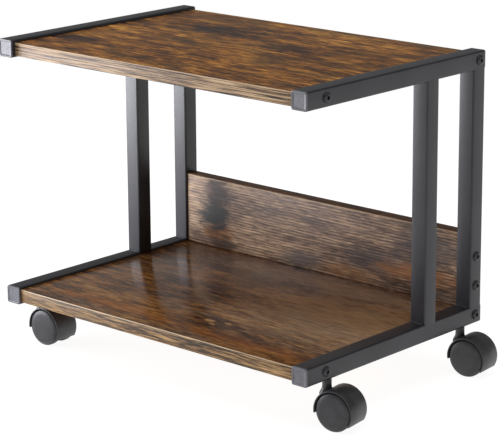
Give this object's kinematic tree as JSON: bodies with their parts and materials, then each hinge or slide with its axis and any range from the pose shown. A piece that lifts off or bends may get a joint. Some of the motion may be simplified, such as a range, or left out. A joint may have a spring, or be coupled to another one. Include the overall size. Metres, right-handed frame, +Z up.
{
  "type": "mobile printer stand",
  "caption": "Low rolling stand with open square-tube side frames, two wood-look shelves, a low back panel and small twin-wheel swivel casters under the rails.",
  "frame": {"origin": "the middle of the stand's box in width and depth, on the floor; the casters trail to +X, so the side frames' middle plane is at x = -0.0134 m", "axes": "+X along the width, towards the side that the casters trail to; the front looks along -Y; +Z is up"},
  "size_m": [0.4833, 0.295, 0.359],
  "materials": {
    "powder_coated_steel": "satin",
    "tube_cap_plastic": "matt",
    "top_shelf_laminate": "satin",
    "bottom_shelf_laminate": "satin",
    "back_panel_laminate": "matt",
    "edge_band": "matt",
    "edge_band_dark": "matt",
    "black_bolts": "satin",
    "brass_inserts": "satin",
    "bright_steel": "satin",
    "caster_hood_plastic": "satin",
    "caster_wheel_plastic": "satin"
  },
  "bodies": {
    "root": {"left_top_rail": "powder_coated_steel", "left_bottom_rail": "powder_coated_steel", "left_middle_post": "powder_coated_steel", "left_rear_post": "powder_coated_steel", "right_top_rail": "powder_coated_steel", "right_bottom_rail": "powder_coated_steel", "right_middle_post": "powder_coated_steel", "right_rear_post": "powder_coated_steel", "left_top_front_cap": "tube_cap_plastic", "left_top_rear_cap": "tube_cap_plastic", "left_bottom_front_cap": "tube_cap_plastic", "left_bottom_rear_cap": "tube_cap_plastic", "right_top_front_cap": "tube_cap_plastic", "right_top_rear_cap": "tube_cap_plastic", "right_bottom_front_cap": "tube_cap_plastic", "right_bottom_rear_cap": "tube_cap_plastic", "top_shelf": "top_shelf_laminate", "top_shelf_front_band": "edge_band", "top_shelf_rear_band": "edge_band", "bottom_shelf": "bottom_shelf_laminate", "bottom_shelf_front_band": "edge_band", "bottom_shelf_rear_band": "edge_band", "back_panel": "back_panel_laminate", "back_panel_top_band": "edge_band_dark", "left_bolts": "black_bolts", "right_bolts": "black_bolts", "left_inserts": "brass_inserts", "right_inserts": "brass_inserts", "rivet_nuts": "bright_steel", "front_left_stem": "bright_steel", "front_right_stem": "bright_steel", "rear_left_stem": "bright_steel", "rear_right_stem": "bright_steel", "stem_rings": "bright_steel"},
    "front_left_swivel": {"front_left_hood": "caster_hood_plastic", "front_left_axle": "bright_steel"},
    "front_left_front_wheel_body": {"front_left_front_wheel": "caster_wheel_plastic"},
    "front_left_rear_wheel_body": {"front_left_rear_wheel": "caster_wheel_plastic"},
    "front_right_swivel": {"front_right_hood": "caster_hood_plastic", "front_right_axle": "bright_steel"},
    "front_right_front_wheel_body": {"front_right_front_wheel": "caster_wheel_plastic"},
    "front_right_rear_wheel_body": {"front_right_rear_wheel": "caster_wheel_plastic"},
    "rear_left_swivel": {"rear_left_hood": "caster_hood_plastic", "rear_left_axle": "bright_steel"},
    "rear_left_front_wheel_body": {"rear_left_front_wheel": "caster_wheel_plastic"},
    "rear_left_rear_wheel_body": {"rear_left_rear_wheel": "caster_wheel_plastic"},
    "rear_right_swivel": {"rear_right_hood": "caster_hood_plastic", "rear_right_axle": "bright_steel"},
    "rear_right_front_wheel_body": {"rear_right_front_wheel": "caster_wheel_plastic"},
    "rear_right_rear_wheel_body": {"rear_right_rear_wheel": "caster_wheel_plastic"}
  },
  "joints": [
    {"name": "front_left_swivel_turn", "type": "hinge", "parent": "root", "child": "front_left_swivel", "pos_m": [-0.22835, -0.1035, 0.054], "axis": [0, 0, 1], "continuous": true},
    {"name": "front_left_front_wheel_roll", "type": "hinge", "parent": "front_left_swivel", "child": "front_left_front_wheel_body", "pos_m": [-0.21236, -0.10294, 0.021], "axis": [-0.0349, 0.9994, 0], "continuous": true},
    {"name": "front_left_rear_wheel_roll", "type": "hinge", "parent": "front_left_swivel", "child": "front_left_rear_wheel_body", "pos_m": [-0.21236, -0.10294, 0.021], "axis": [-0.0349, 0.9994, 0], "continuous": true},
    {"name": "front_right_swivel_turn", "type": "hinge", "parent": "root", "child": "front_right_swivel", "pos_m": [0.20165, -0.1035, 0.054], "axis": [0, 0, 1], "continuous": true},
    {"name": "front_right_front_wheel_roll", "type": "hinge", "parent": "front_right_swivel", "child": "front_right_front_wheel_body", "pos_m": [0.21749, -0.10127, 0.021], "axis": [-0.1392, 0.9903, 0], "continuous": true},
    {"name": "front_right_rear_wheel_roll", "type": "hinge", "parent": "front_right_swivel", "child": "front_right_rear_wheel_body", "pos_m": [0.21749, -0.10127, 0.021], "axis": [-0.1392, 0.9903, 0], "continuous": true},
    {"name": "rear_left_swivel_turn", "type": "hinge", "parent": "root", "child": "rear_left_swivel", "pos_m": [-0.22835, 0.1235, 0.054], "axis": [0, 0, 1], "continuous": true},
    {"name": "rear_left_front_wheel_roll", "type": "hinge", "parent": "rear_left_swivel", "child": "rear_left_front_wheel_body", "pos_m": [-0.21239, 0.12462, 0.021], "axis": [-0.0698, 0.9976, 0], "continuous": true},
    {"name": "rear_left_rear_wheel_roll", "type": "hinge", "parent": "rear_left_swivel", "child": "rear_left_rear_wheel_body", "pos_m": [-0.21239, 0.12462, 0.021], "axis": [-0.0698, 0.9976, 0], "continuous": true},
    {"name": "rear_right_swivel_turn", "type": "hinge", "parent": "root", "child": "rear_right_swivel", "pos_m": [0.20165, 0.1235, 0.054], "axis": [0, 0, 1], "continuous": true},
    {"name": "rear_right_front_wheel_roll", "type": "hinge", "parent": "rear_right_swivel", "child": "rear_right_front_wheel_body", "pos_m": [0.21756, 0.12517, 0.021], "axis": [-0.1045, 0.9945, 0], "continuous": true},
    {"name": "rear_right_rear_wheel_roll", "type": "hinge", "parent": "rear_right_swivel", "child": "rear_right_rear_wheel_body", "pos_m": [0.21756, 0.12517, 0.021], "axis": [-0.1045, 0.9945, 0], "continuous": true}
  ]
}
